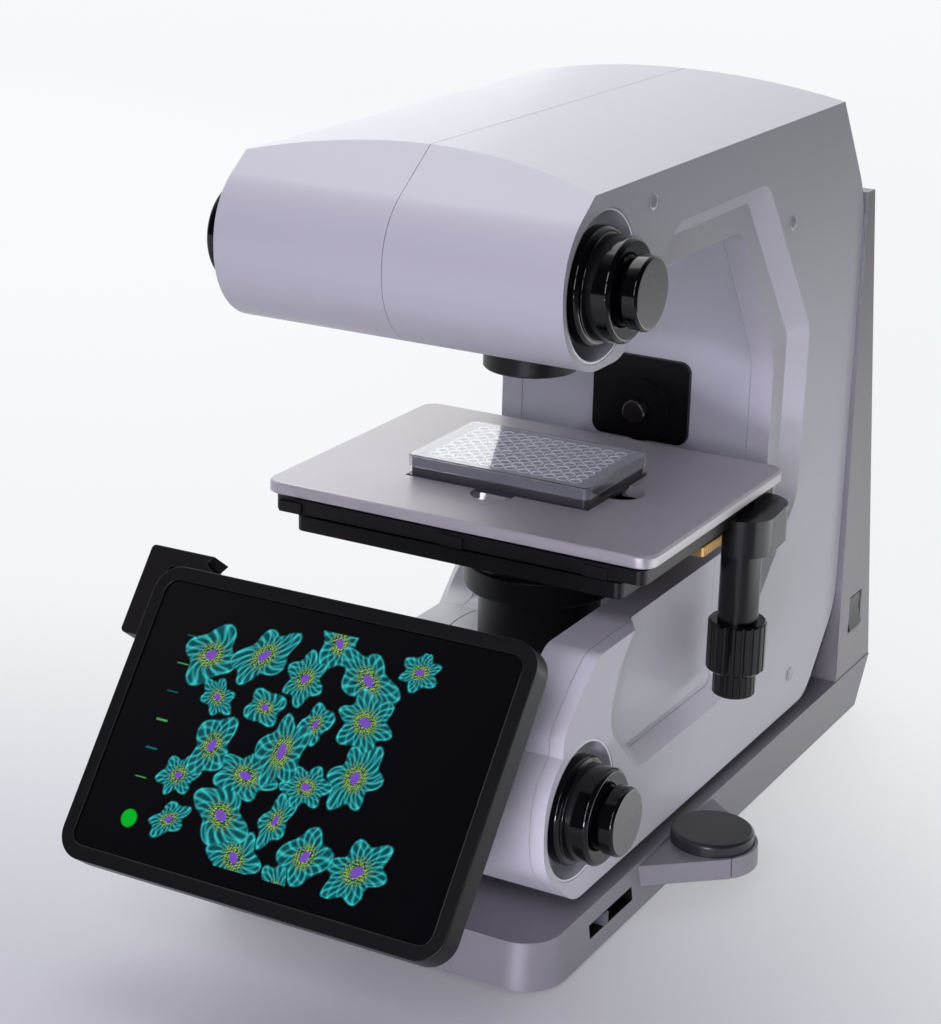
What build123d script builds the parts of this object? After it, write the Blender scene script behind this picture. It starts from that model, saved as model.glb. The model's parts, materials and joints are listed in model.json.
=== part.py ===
from build123d import *
import os
from math import atan2, cos, degrees, hypot, pi, radians, sin, sqrt

os.makedirs("parts", exist_ok=True)

# The origin is where the optical axis meets the bench: +X is the user's right, +Y goes back, +Z is up.

# Shared fits
fit = 0.05            # radial clearance of a shaft in its bore
gap = 0.3             # clearance between faces that slide past each other
seam = 0.4            # visible joint between two covers
over = 6.0            # overrun of every cut

# C-shaped body
body_half = 112.0
body_bottom = 38.0
body_top = 475.6
crown_drop = 12.6
body_front = -180.5
body_rear = 272.0
wall = 4.0
side_seam = 102.5     # where the lower cover meets the side shells
outline_high = 437.6  # height that the outline's height shares are shares of
throat_low_share = 0.378
throat_high_share = 0.745

# L-shaped frame: the base with its dial lug, and the leaning column
base_half = 121.8
base_top = 31.5
base_front = -194.0
column_deep_low = 67.0
column_deep_top = 13.0
base_undercut = 34.0
base_rear_high = body_rear + column_deep_low
base_rear_low = base_rear_high - base_undercut
base_draft = 6.9
base_corner = 28.0
base_rear_corner = 8.0
pad_thick = 2.0
pad_inset = 9.0
column_half = 117.5
column_top_half = 114.0
column_drop = 81.6    # top of the column below the crown
column_top = body_top - column_drop
column_top_rear = body_rear + column_deep_top
column_wall = 8.0

# Side outline of the body, front to back and round the C, as shares of its depth and height
outline_shares = [
    (0.130, 1.012), (0.000, 0.915), (0.000, 0.745), (0.190, 0.745), (0.216, 0.827),
    (0.590, 0.827), (0.733, 0.598), (0.733, 0.378), (0.590, 0.176), (0.235, 0.176), (0.180, 0.250),
    (0.072, 0.250), (0.000, 0.195), (0.000, 0.082), (0.092, 0.000), (0.890, 0.000), (1.000, 0.125),
    (1.000, 0.804), (0.856, 1.012)]
outline_radius_shares = [
    0.070, 0.106, 0.105, 0.066, 0.020,
    0.055, 0.070, 0.070, 0.055, 0.035, 0.035,
    0.050, 0.090, 0.090, 0.060, 0.060, 0.100,
    0.160, 0.060]

# Raised wall on the right of the lower arm, in front of and beside the turret
hump_inner = 77.0
hump_top = 188.0
hump_shares = [
    (0.046, 0.150), (0.046, 0.262), (0.098, 0.312), (0.140, 0.343), (0.722, 0.343), (0.722, 0.150)]
hump_radius_shares = [0.004, 0.030, 0.040, 0.040, 0.008, 0.004]

# Bevelled channel round the opening on both sides
channel_depth = 11.0
channel_bevel = 48.0
channel_shares = [
    (0.262, 0.847), (0.322, 0.893), (0.612, 0.893), (0.806, 0.640), (0.800, 0.372), (0.556, 0.121),
    (0.270, 0.124), (0.175, 0.222), (0.202, 0.301), (0.310, 0.410), (0.310, 0.780)]
channel_radius_shares = [0.030, 0.040, 0.045, 0.060, 0.060, 0.050, 0.050, 0.050, 0.040, 0.030, 0.030]

# Throat panel
throat_half = 85.0
panel_half = 57.0
panel_step = 16.0

# Focus knobs: one pair for the nosepiece below, one pair for the condenser above
knob_y = -134.0
knob_low_z = 96.0
knob_drop = 64.6
knob_high_z = body_top - knob_drop
cup_r = 43.5
cup_depth = 27.0
cup_wall = 1.6
dish_r = 33.5
ring_r = 29.5
fine_r = 21.0
knob_face_x = 142.5
fine_depth = 12.0
ring_depth = 16.5
dish_depth = 12.0
coarse_shaft_r = 7.0
fine_shaft_r = 4.0
bush_r = 12.0
bush_len = 8.0

# Rack drives
rack_pinion_r = 6.0
rack_module = 0.8
pulley_r = 9.0
belt_thick = 1.4
belt_width = 6.0
belt_x = 24.0
gear_width = 9.0
ear_thick = 6.0
ear_reach = 20.4
rack_back = 6.0
rack_long = 32.0
rail_thick = 8.0
rail_half = 12.0

# Chassis inside the body
chassis_inset = 15.0
chassis_in = 70.0
chassis_thick = 6.0

# Turret and objectives
turret_y = 22.0
turret_r = 50.0
turret_low = 166.0
turret_high = 184.0
drum_r = 40.0
drum_low = 70.0
objective_pitch = 22.0
objective_tip = 218.0
focus_travel = 8.0
focus_rail_y = 70.0
focus_pinion_z = 86.0
well_cover_r = 76.0
well_cover_y = 50.0
light_r = 12.0
turret_pin_r = 6.0
turret_pin_long = 20.0
objective_count = 5
objective_r = 11.0
objective_taper = 0.35      # share of the objective that narrows, on the shortest one
objective_taper_step = 0.09
objective_nose = 0.62       # nose radius as a share of the barrel, on the widest one
objective_nose_step = 0.06

# Condenser
condenser_r = 30.0
condenser_low = 317.0
condenser_drop = 45.6
condenser_high = body_top - condenser_drop
condenser_travel = 10.0
condenser_pinion_z = condenser_high
lamp_r = 24.0
lamp_high = 7.0
lens_thick = 8.0
lens_sag = 2.4

# Stage
stage_half = 133.4
stage_front = -100.0
stage_rear = 104.1
stage_top = 246.2
stage_thick = 7.5
stage_corner = 11.0
stage_edge = 1.2
frame_low = 214.0
frame_top = 224.0
frame_left = -115.0
frame_right = 112.0
carriage_low = 227.0
carriage_top = 236.0
carriage_half = 128.0
travel_x = 55.0
travel_y = 35.0
rail_width = 8.0
ledge = 4.0
notch_r = 14.0
window_half = 45.0
belt_back_y = 78.1
belt_low = 228.5
belt_high = 231.5
clamp_half = 9.0
clamp_wall = 2.4
latch_shares = (-0.45, 0.0, 0.38)

# Hanging drive
drive_x = 130.0
drive_y = 45.0
cap_back = 24.0
cap_r = 20.0
cap_low = 208.0
cap_top = 232.0
stem_r = 13.0
stem_low = 161.0
knob_y_r = 18.8
knob_y_low = 127.0
knob_x_r = 13.8
knob_x_low = 110.0
drive_shaft_r = 3.0
drive_tube_r = 6.0
stage_pinion_r = 8.0
stage_module = 1.0
drive_pulley_r = 6.0
rack_high = 6.0
knob_ribs = 20

# Well plate in the standard footprint, with its lid
plate_long = 127.76
plate_wide = 85.48
plate_high = 14.35
plate_floor = 244.2
well_pitch = 9.0
well_r = 3.43
lid_wall = 1.2
lid_skirt = 8.0
plate_corner = 4.0
plate_foot = 2.5
well_columns = 12
well_rows = 8

# Tablet, in its own tilted frame
tablet_x = -13.0
tablet_y = -250.3
tablet_z = 148.1
tablet_tilt = 52.18
tablet_yaw = -3.26
tablet_roll = 1.99
glass_long = 245.0
glass_wide = 165.0
glass_thick = 1.0
tablet_thick = 7.0
case_margin = 9.0
case_back = 19.0
case_lip = 1.4
case_corner = 17.0
hinge_back = 38.0
hinge_r = 9.0
hinge_pin_r = 4.0
bracket_half = 42.0
bracket_thick = 4.0
knuckle_half = 20.0
grip_slope = 35.0
grip_out = 27.0
grip_in = 32.0
grip_up = 20.5
grip_down = 36.5
grip_front = -6.0
arm_high = 20.0       # half height of the arm where it leaves the body

# Controls on the frame
dial_x = 142.0
dial_y = -4.0
dial_r = 26.5
dial_high = 13.0
lug_r = 29.5
lug_low = 16.0
lug_slit = 0.8
lug_slit_angle = -41.0
slot_front = -132.0
slot_rear = -74.0
slot_low = 12.3
slot_high = 21.0
slot_deep = 7.0
switch_inset = 36.0
switch_y = base_rear_high - switch_inset
switch_z = 77.0
switch_long = 24.0
switch_high = 28.0
switch_deep = 9.0
trunnion_x = 113.0
trunnion_r = 1.2
trunnion_long = 2.0
dial_pin_r = 5.0
inlet_x = 60.0
inlet_z = 72.0
inlet_half = 11.0
inlet_r = 3.2
slider_share = 0.36   # where the slider tab stands along its slot
slider_half = 3.0

# Covers and fasteners
screw_r = 5.5
screw_stem_r = 4.0
boss_r = 5.0
rear_cover_half = 96.0
rear_cover_low = 116.0
rear_cover_drop = 95.6
rear_cover_high = body_top - rear_cover_drop
bolt_r = 4.0
bolt_head_r = 6.5
bolt_head_high = 6.0
bolt_grip = 16.0
cap_ys = (-73.0, 141.0, 190.0)
cap_drop_front = 28.6
cap_drop_rear = 79.6
cap_rise = 28.0
cap_places = list(zip(cap_ys, (body_top - cap_drop_front, body_top - cap_drop_rear, body_bottom + cap_rise)))

# Box with its turning knob on the throat panel
box_half = 36.0
box_low = 226.5
box_top = 285.0
box_corner = 8.0
box_deep = 4.0
box_boss_r = 22.0
box_knob_r = 8.5
box_knob_z = 248.0
box_pin_r = 2.0


def block(x0, x1, y0, y1, z0, z1):
    return Pos((x0 + x1) / 2, (y0 + y1) / 2, (z0 + z1) / 2) * Box(x1 - x0, y1 - y0, z1 - z0)


def rod_x(y, z, r, x0, x1):
    return Pos((x0 + x1) / 2, y, z) * Rot(0, 90, 0) * Cylinder(r, x1 - x0)


def rod_y(x, z, r, y0, y1):
    return Pos(x, (y0 + y1) / 2, z) * Rot(90, 0, 0) * Cylinder(r, y1 - y0)


def rod_z(x, y, r, z0, z1):
    return Pos(x, y, (z0 + z1) / 2) * Cylinder(r, z1 - z0)


def rounded(points, radii):
    return make_face(FilletPolyline(*points, radius=radii, close=True))


def prism_x(face, x0, x1):
    return Pos(x0, 0, 0) * extrude(Plane.YZ * face, x1 - x0)


def prism_y(face, y0, y1):
    return Pos(0, y1, 0) * extrude(Plane.XZ * face, y1 - y0)


def prism_z(face, z0, z1):
    return Pos(0, 0, z0) * extrude(face, z1 - z0)


def turned_x(points, y, z, side):
    # A profile of (outward distance, radius) points turned about an axis along X on one side
    profile = make_face(Polyline(*[(r, d) for d, r in points], close=True))
    solid = revolve(Plane.XZ * profile, Axis.Z)
    return Pos(0, y, z) * Rot(0, 90 * side, 0) * solid


def hull_of_circles(circles):
    # The straight-sided outline round a chain of (x, y, radius) circles, as one face
    outline = Sketch() + [Pos(x, y) * Circle(r) for x, y, r in circles]
    for i, (xa, ya, ra) in enumerate(circles):
        xb, yb, rb = circles[(i + 1) % len(circles)]
        away = atan2(yb - ya, xb - xa)
        lean = sqrt(1 - ((ra - rb) / hypot(xb - xa, yb - ya)) ** 2)
        tilt = atan2(lean, (ra - rb) / hypot(xb - xa, yb - ya))
        corners = [(xa + ra * cos(away + tilt), ya + ra * sin(away + tilt)),
                   (xb + rb * cos(away + tilt), yb + rb * sin(away + tilt)),
                   (xb + rb * cos(away - tilt), yb + rb * sin(away - tilt)),
                   (xa + ra * cos(away - tilt), ya + ra * sin(away - tilt))]
        outline += make_face(Polyline(*corners, close=True))
    centres = [(x, y) for x, y, r in circles]
    if len(centres) > 2:
        outline += make_face(Polyline(*centres, close=True))
    return outline


def height_at(share):
    # Both arms keep their height, and the throat between them takes up a change of the body's
    low = body_bottom + throat_low_share * outline_high
    high = body_top - (1 - throat_high_share) * outline_high
    if share < throat_low_share:
        return low - (throat_low_share - share) * outline_high
    if share > throat_high_share:
        return high + (share - throat_high_share) * outline_high
    return low + (share - throat_low_share) / (throat_high_share - throat_low_share) * (high - low)


def body_at(share):
    depth_share, height_share = share
    return (body_front + depth_share * (body_rear - body_front), height_at(height_share))


def body_face(shares, radius_shares):
    return rounded([body_at(s) for s in shares], [share * outline_high for share in radius_shares])


def crown(drop, half):
    # Everything under the arched top of the body, seen from the front
    low = body_bottom - over
    edge = body_top - crown_drop - drop
    arch = ThreePointArc((-half, edge), (0, body_top - drop), (half, edge))
    rim = Polyline((half, edge), (half, low), (-half, low), (-half, edge))
    return prism_y(make_face(Curve() + [arch, rim]), body_front - over, body_rear + over)


def channel(side, grow, deep):
    face = offset(body_face(channel_shares, channel_radius_shares), amount=grow)
    cut = extrude(Plane.YZ * face, over) + extrude(Plane.YZ * face, -deep, taper=channel_bevel)
    cut = Pos(body_half, 0, 0) * cut
    return cut if side > 0 else mirror(cut, Plane.YZ)


def hump(inset):
    face = body_face(hump_shares, hump_radius_shares)
    if inset:
        face = offset(face, amount=-inset)
    return prism_x(face, hump_inner + inset, body_half - inset)


def body_solid(inset):
    face = body_face(outline_shares, outline_radius_shares)
    if inset:
        face = offset(face, amount=-inset)
    half = body_half - inset
    solid = prism_x(face, -half, half) & crown(inset, half)
    solid += hump(inset)
    for side in (1, -1):
        solid -= channel(side, inset, channel_depth + inset)
    return solid


def throat_band(shift):
    # The C-shaped strip behind the stage; shift moves it back into the body
    (y0, z0), (y1, z1), (y2, z2), (y3, z3) = [body_at(s) for s in outline_shares[5:9]]
    radii = [share * outline_high for share in outline_radius_shares[5:9]]
    foot = throat_foot()
    front = [(foot, z0), (y0 + shift, z0), (y1 + shift, z1), (y2 + shift, z2), (y3 + shift, z3), (foot, z3)]
    thick = wall
    back = [(foot, z3 - thick), (y3 + shift + thick / 2, z3 - thick), (y2 + shift + thick, z2 - thick / 2),
            (y1 + shift + thick, z1 + thick / 2), (y0 + shift + thick / 2, z0 + thick), (foot, z0 + thick)]
    tiny = seam / 2
    round_front = [tiny, radii[0], radii[1], radii[2], radii[3], tiny]
    round_back = [tiny, radii[3] + thick, radii[2] + thick, radii[1] + thick, radii[0] + thick, tiny]
    return rounded(front + back, round_front + round_back)


def throat_zone(margin):
    # Space that the throat panel fills between the two side shells
    face = offset(throat_band(0), amount=margin)
    return prism_x(face, -throat_half - margin, throat_half + margin)


def throat_cover():
    cover = prism_x(throat_band(panel_step), -panel_half, panel_half)
    deep = Pos(panel_half, 0, 0) * (Plane.YZ * throat_band(panel_step))
    shallow = Pos(throat_half, 0, 0) * (Plane.YZ * throat_band(0))
    cheek = loft([deep.face(), shallow.face()], ruled=True)
    cover += cheek
    cover += mirror(cheek, Plane.YZ)
    return cover


def lower_zone(margin):
    # Space of the cover over the lower arm: its top, front and underside between the seams
    low = block(-side_seam - margin, side_seam + margin, body_front - over, throat_foot() + margin,
                body_bottom - over, hump_top + over)
    under = block(-side_seam - margin, side_seam + margin, body_front, body_rear - cup_r,
                  body_bottom - over, body_bottom + wall + margin)
    return low + under


def throat_foot():
    return body_at(outline_shares[8])[0] - panel_step


def knob_heights():
    return (knob_low_z, knob_high_z)


def side_holes(side):
    cuts = []
    for z in knob_heights():
        cuts.append(rod_x(knob_y, z, cup_r - gap, body_half - cup_depth - gap, body_half + over))
    cut = cuts[0] + cuts[1]
    return cut if side > 0 else mirror(cut, Plane.YZ)


def side_shell(side):
    half_space = block(seam / 2, body_half + over, body_front - over, body_rear + over,
                       body_bottom - over, body_top + over)
    if side < 0:
        half_space = mirror(half_space, Plane.YZ)
    shell = hollow_body & half_space
    shell -= lower_zone(seam)
    shell -= throat_zone(seam)
    shell -= rear_zone(seam)
    shell -= side_holes(side)
    shell -= rod_z(0, 0, condenser_r + gap * 3, stage_top, condenser_high)
    bosses = [rod_x(y, z, boss_r, chassis_in + chassis_thick, body_half - wall / 2) for y, z in cap_places]
    pockets = [rod_x(y, z, screw_stem_r, body_half - wall / 3, body_half + over) for y, z in cap_places]
    for boss in bosses:
        shell += boss if side > 0 else mirror(boss, Plane.YZ)
    for pocket in pockets:
        shell -= pocket if side > 0 else mirror(pocket, Plane.YZ)
    return shell


def rear_zone(margin):
    return block(-rear_cover_half - margin, rear_cover_half + margin, body_rear - 2 * wall, body_rear + over,
                 rear_cover_low - margin, rear_cover_high + margin)


def rear_cover():
    cover = hollow_body & rear_zone(0)
    for x, z in body_bolt_places():
        cover -= rod_y(x, z, bolt_r + fit, body_rear - 3 * wall, body_rear + over)
    return cover


def well_groove():
    # Fine ring on the tray round the turret
    low = body_at(outline_shares[8])[1] - wall / 5
    ring = rod_z(0, well_cover_y, well_cover_r, low, low + wall)
    return ring - rod_z(0, well_cover_y, well_cover_r - wall / 4, low - over, low + over)


def lower_cover():
    cover = hollow_body & lower_zone(0)
    cover -= throat_zone(seam)
    for side in (1, -1):
        cover -= side_holes(side)
    cover -= well_groove()
    cover -= rod_z(0, turret_y, drum_r + gap * 4, body_bottom + 2 * wall, hump_top)
    return cover


def base_casting():
    low = make_face(FilletPolyline((-base_half, base_front), (base_half, base_front),
                                   (base_half, base_rear_high + over), (-base_half, base_rear_high + over),
                                   radius=[base_corner, base_corner, base_rear_corner, base_rear_corner],
                                   close=True))
    casting = Pos(0, 0, pad_thick) * extrude(low, base_top - pad_thick, taper=base_draft)
    side = Polyline((base_front - over, pad_thick), (base_rear_low, pad_thick), (base_rear_high, base_top),
                    (base_front - over, base_top), close=True)
    casting &= prism_x(make_face(side), -base_half - over, base_half + over)
    lug_root = base_half - lug_r / 2
    lug = hull_of_circles([(dial_x, dial_y, lug_r), (lug_root, dial_y - 1.9 * lug_r, lug_r / 3),
                           (lug_root, dial_y + 1.7 * lug_r, lug_r / 3)])
    casting += Pos(0, 0, lug_low) * extrude(lug, base_top - pad_thick - lug_low, taper=base_draft / 3)
    slit = Pos(lug_r, 0, base_top / 2) * Box(lug_r, lug_slit, base_top)
    casting -= Pos(dial_x, dial_y) * Rot(0, 0, lug_slit_angle) * slit
    casting -= rod_z(dial_x, dial_y, dial_r + gap, base_top - 2 * pad_thick - dial_high / 4, base_top + over)
    casting += rod_z(dial_x, dial_y, dial_pin_r, lug_low, base_top)
    slot_floor = base_half - slot_deep - wall
    casting -= block(slot_floor, base_half + over, slot_front, slot_rear, slot_low, slot_high)
    for x, y in bolt_places():
        casting -= rod_z(x, y, bolt_r + gap, pad_thick - over, base_top + over)
        casting -= rod_z(x, y, bolt_head_r + gap, pad_thick - over, pad_thick + bolt_head_high + gap)
    return casting


def bolt_places():
    x = 0.72 * column_half
    y = (body_rear + base_rear_high) / 2 - wall
    return [(-x, y), (x, y)]


def base_pad():
    x = base_half - pad_inset
    pad = make_face(FilletPolyline((-x, base_front + pad_inset), (x, base_front + pad_inset),
                                   (x, base_rear_low - pad_inset), (-x, base_rear_low - pad_inset),
                                   radius=base_corner - pad_inset, close=True))
    return prism_z(pad, 0, pad_thick)


def column_rear_at(z):
    share = (z - base_top) / (column_top - base_top)
    return base_rear_high - share * (base_rear_high - column_top_rear)


def column_half_at(z):
    share = (z - base_top) / (column_top - base_top)
    return column_half - share * (column_half - column_top_half)


def rear_column():
    side = Polyline((body_rear, base_top), (base_rear_high, base_top), (column_top_rear, column_top),
                    (body_rear, column_top), close=True)
    column = prism_x(make_face(side), -column_half - over, column_half + over)
    front = Polyline((-column_half, base_top), (column_half, base_top), (column_top_half, column_top),
                     (-column_top_half, column_top), close=True)
    column &= prism_y(make_face(front), body_rear - over, base_rear_high + over)
    inner = Polyline((body_rear + column_wall, base_top + column_wall),
                     (base_rear_high - 2 * column_wall, base_top + column_wall),
                     (body_rear + column_wall, column_top - 6 * column_wall), close=True)
    column -= prism_x(make_face(inner), -column_top_half + 2 * column_wall, column_top_half - 2 * column_wall)
    pocket_floor = column_half_at(switch_z) - switch_deep
    column -= block(pocket_floor, column_half + over, switch_y - switch_long / 2, switch_y + switch_long / 2,
                    switch_z - switch_high / 2, switch_z + switch_high / 2)
    pin = switch_long / 2 + trunnion_long + gap
    column -= rod_y(trunnion_x, switch_z, trunnion_r + fit, switch_y - pin, switch_y + pin)
    rear = column_rear_at(inlet_z)
    column -= block(inlet_x - inlet_half, inlet_x + inlet_half, rear - 3 * column_wall, rear + over,
                    inlet_z - inlet_half, inlet_z + inlet_half)
    for x, y in bolt_places():
        column -= rod_z(x, y, bolt_r + fit, base_top - over, base_top + bolt_grip)
    for x, z in body_bolt_places():
        column -= rod_y(x, z, bolt_r + fit, body_rear - over, body_rear + column_wall + over)
    return column


def body_bolt_places():
    x = 0.66 * chassis_in
    low, high = rear_cover_low + 2 * column_wall, rear_cover_high - 5 * column_wall
    return [(side * x, z) for side in (-1, 1) for z in (low, high)]


def frame_bolts():
    # Two up through the base into the column, four back through the chassis into the column
    bolts = []
    for x, y in bolt_places():
        head = rod_z(x, y, bolt_head_r, pad_thick, pad_thick + bolt_head_high)
        bolts.append(head + rod_z(x, y, bolt_r, pad_thick, base_top + bolt_grip - gap))
    for x, z in body_bolt_places():
        face = spine_front()
        head = rod_y(x, z, bolt_head_r, face - bolt_head_high, face)
        bolts.append(head + rod_y(x, z, bolt_r, face - bolt_head_high, body_rear + column_wall))
    return Compound(children=bolts)


def spine_front():
    return body_rear - 2 * wall - seam - 2 * chassis_thick


def chassis():
    # Two C-shaped side plates joined by the spine, the knob bushes' seats and the rail carriers
    face = offset(body_face(outline_shares, outline_radius_shares), amount=-chassis_inset)
    plates = prism_x(face, chassis_in, chassis_in + chassis_thick)
    frame = (plates + mirror(plates, Plane.YZ)) & crown(wall + 2 * gap, chassis_in + 3 * chassis_thick)
    spine = spine_front()
    low = body_bottom + chassis_inset
    frame += block(-chassis_in, chassis_in, spine, spine + chassis_thick, rear_cover_low - 6 * wall,
                   rear_cover_high + 4 * wall)
    for x, z in body_bolt_places():
        frame += rod_y(x, z, 2 * bolt_r, spine + chassis_thick, body_rear - 2 * wall - seam)
        frame -= rod_y(x, z, bolt_r + fit, spine - over, body_rear + over)
    throat = body_at(outline_shares[6])[0] + panel_step + wall
    frame += block(-chassis_in, chassis_in, throat, throat + chassis_thick, frame_low - 4 * chassis_thick,
                   body_at(outline_shares[6])[1])
    low_back = focus_rail_y + rail_thick
    frame += block(-chassis_in, chassis_in, low_back, low_back + chassis_thick, low,
                   turret_low - body_at(outline_shares[8])[1] + low)
    high_floor = body_at(outline_shares[4])[1] + wall + gap
    ceiling = body_top - crown_drop - 2 * wall
    high_back = condenser_rail_y() + rail_thick
    frame += block(-chassis_in, chassis_in, high_back, high_back + chassis_thick, high_floor, ceiling)
    frame += block(-chassis_in, chassis_in, -lamp_r, high_back, ceiling - chassis_thick, ceiling)
    carriers = ((focus_pinion_y(), focus_pinion_z, low),
                (condenser_pinion_y(), condenser_pinion_z, high_floor))
    for y, z, foot in carriers:
        start = y - ear_reach
        frame += block(-chassis_in, chassis_in, start, start + ear_thick, foot, foot + 2 * ear_thick)
        for x in ear_places():
            frame += block(x, x + ear_thick, start, y + ear_thick, foot, z + 1.5 * ear_thick)
            frame -= rod_x(y, z, fine_shaft_r + fit, x - gap, x + ear_thick + gap)
    for z in knob_heights():
        frame -= rod_x(knob_y, z, bush_r, -chassis_in - 3 * chassis_thick, chassis_in + 3 * chassis_thick)
        frame -= block(belt_x - belt_width, belt_x + belt_width, knob_y, -condenser_r, z - bush_r,
                       z + bush_r)
    return frame


def ear_places():
    return (-gear_width - ear_thick, belt_x + belt_width)


def shaft_bushes():
    bushes = []
    for z in knob_heights():
        for side in (-1, 1):
            x0, x1 = sorted((side * chassis_in, side * (chassis_in + bush_len)))
            bush = rod_x(knob_y, z, bush_r, x0, x1)
            bushes.append(bush - rod_x(knob_y, z, coarse_shaft_r + fit, x0 - over, x1 + over))
    return Compound(children=bushes)


def knob_cups():
    # Turned silver bowls that line the four knob recesses
    cups = []
    outer = cup_r - seam
    hub = coarse_shaft_r + 2 * gap
    mouth = body_half - gap
    floor = mouth - cup_depth
    bowl = [(mouth, outer), (mouth, outer - cup_wall), (floor + cup_depth / 2, outer - 2.2 * cup_wall),
            (floor + cup_depth / 4, outer - 5.5 * cup_wall), (floor + cup_wall, outer - 10 * cup_wall),
            (floor + cup_wall, hub), (floor, hub), (floor, outer - 10 * cup_wall),
            (floor + cup_depth / 4 - cup_wall, outer - 4.5 * cup_wall),
            (floor + cup_depth / 2 - cup_wall, outer - cup_wall), (mouth - wall, outer - cup_wall / 2)]
    for z in knob_heights():
        for side in (-1, 1):
            cups.append(turned_x(bowl, knob_y, z, side))
    return Compound(children=cups)


def coarse_knob(side, z):
    # Wide dish, then the ribbed middle ring, on the hollow shaft
    ring_end = knob_face_x - fine_depth - gap
    ring_start = ring_end - ring_depth
    dish_start = ring_start - dish_depth
    bore = coarse_shaft_r
    chamfer = dish_depth / 6
    hub = fine_shaft_r + 2 * gap if side > 0 else 0
    points = [(dish_start, bore), (dish_start, dish_r - 3 * chamfer), (dish_start + 2 * chamfer, dish_r),
              (ring_start - chamfer, dish_r), (ring_start, dish_r - chamfer), (ring_start, ring_r),
              (ring_end - chamfer, ring_r), (ring_end, ring_r - chamfer), (ring_end, hub),
              (ring_start, hub), (ring_start, bore)]
    return turned_x(points, knob_y, z, side)


def coarse_end():
    return knob_face_x - fine_depth - gap - ring_depth


def coarse_shaft(z):
    end = coarse_end()
    tube = rod_x(knob_y, z, coarse_shaft_r, -end, end)
    tube -= rod_x(knob_y, z, fine_shaft_r + fit, -end - over, end + over)
    wheel = rod_x(knob_y, z, pulley_r, belt_x - belt_width / 2, belt_x + belt_width / 2)
    wheel -= rod_x(knob_y, z, coarse_shaft_r - fit, belt_x - belt_width, belt_x + belt_width)
    return tube + wheel


def fine_knob(side, z):
    start = knob_face_x - fine_depth
    chamfer = fine_depth / 8
    dimple = fine_r / 3
    points = [(start, fine_shaft_r), (start, fine_r - 2 * chamfer), (start + 2 * chamfer, fine_r - chamfer),
              (start + 2 * chamfer, fine_r), (knob_face_x - chamfer, fine_r), (knob_face_x, fine_r - chamfer),
              (knob_face_x, dimple), (knob_face_x - chamfer / 2, 0), (start + fine_depth / 2, 0),
              (start + fine_depth / 2, fine_shaft_r)]
    return turned_x(points, knob_y, z, side)


def fine_shaft(z):
    return rod_x(knob_y, z, fine_shaft_r, gap - coarse_end(), knob_face_x - fine_depth / 2)


def tooth_points(count, place):
    # Four corners of each straight-flanked tooth; place turns (tooth number, across, height) into a point
    points = []
    for i in range(count):
        for across, height in ((-0.27, -1.0), (-0.12, 0.75), (0.12, 0.75), (0.27, -1.0)):
            points.append(place(i + across, height))
    return points


def gear_face(pitch_r, module, bore):
    # Spur gear with a tooth centred on its own +X
    count = round(2 * pitch_r / module)

    def place(along, height):
        angle = 2 * pi * along / count
        radius = pitch_r + height * module
        return (radius * cos(angle), radius * sin(angle))

    return make_face(Polyline(*tooth_points(count, place), close=True)) - Circle(bore)


def rack_face(length, module, back):
    # Rack along X whose teeth stand up from a pitch line at zero, with a gap centred on zero
    step = pi * module
    count = 2 * int(length / step / 2)
    first = -count / 2 + 0.5

    def place(along, height):
        return ((first + along) * step, height * module)

    points = tooth_points(count, place)
    end = count / 2 * step
    closing = [(end, -module), (end, -back), (-end, -back), (-end, -module)]
    return make_face(Polyline(*points, *closing, close=True))


def focus_pinion_y():
    return turret_y - drum_r - rack_back - rack_pinion_r


def condenser_pinion_y():
    return -condenser_r - rack_back - rack_pinion_r


def condenser_rail_y():
    return condenser_r + rail_thick


def vertical_rack(pinion_y, pinion_z, length):
    # Rack behind a pinion on an X axis, its teeth facing the front
    face = Rot(0, 0, 90) * rack_face(length, rack_module, rack_back + wall)
    return prism_x(Pos(pinion_y + rack_pinion_r, pinion_z) * face, -gear_width / 2, gear_width / 2)


def cross_pinion(y, z):
    # Pinion cut in one piece with its shaft and belt wheel
    ends = ear_places()
    face = Pos(y, z) * gear_face(rack_pinion_r, rack_module, fine_shaft_r / 2)
    shaft = prism_x(face, -gear_width / 2, gear_width / 2)
    shaft += rod_x(y, z, fine_shaft_r, ends[0] - gap, ends[1] + ear_thick + gap)
    shaft += rod_x(y, z, pulley_r, belt_x - belt_width / 2, belt_x + belt_width / 2)
    return shaft


def drive_belt(ends, r):
    inner = hull_of_circles([(a, b, r + gap) for a, b in ends])
    outer = hull_of_circles([(a, b, r + gap + belt_thick) for a, b in ends])
    return outer - inner


def focus_belt(pinion_y, pinion_z, z):
    face = drive_belt([(knob_y, z), (pinion_y, pinion_z)], pulley_r)
    return prism_x(face, belt_x - belt_width / 2, belt_x + belt_width / 2)


def rail_shoe(y_rail, y_near, z0, z1):
    # Block that rides on the front of a vertical rail and wraps its sides
    shoe = block(-rail_half - wall, rail_half + wall, y_near, y_rail + rail_thick / 2, z0, z1)
    shoe -= block(-rail_half - gap, rail_half + gap, y_rail - gap, y_rail + rail_thick, z0 - over, z1 + over)
    return shoe


def focus_carriage():
    drum = rod_z(0, turret_y, drum_r, drum_low, turret_low - gap)
    drum -= rod_z(0, 0, light_r, drum_low - over, turret_low + over)
    drum -= rod_z(0, turret_y, turret_pin_r + fit, turret_low - turret_pin_long - gap, turret_low + over)
    drum += vertical_rack(focus_pinion_y(), focus_pinion_z, rack_long)
    shoe_low = body_bottom + chassis_inset + focus_travel + wall
    drum += rail_shoe(focus_rail_y, turret_y + drum_r - wall, drum_low, shoe_low + 4 * rail_thick)
    return drum


def focus_rail():
    low = body_bottom + chassis_inset
    top = body_at(outline_shares[8])[1] - wall - gap
    return block(-rail_half, rail_half, focus_rail_y, focus_rail_y + rail_thick, low, top)


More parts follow.
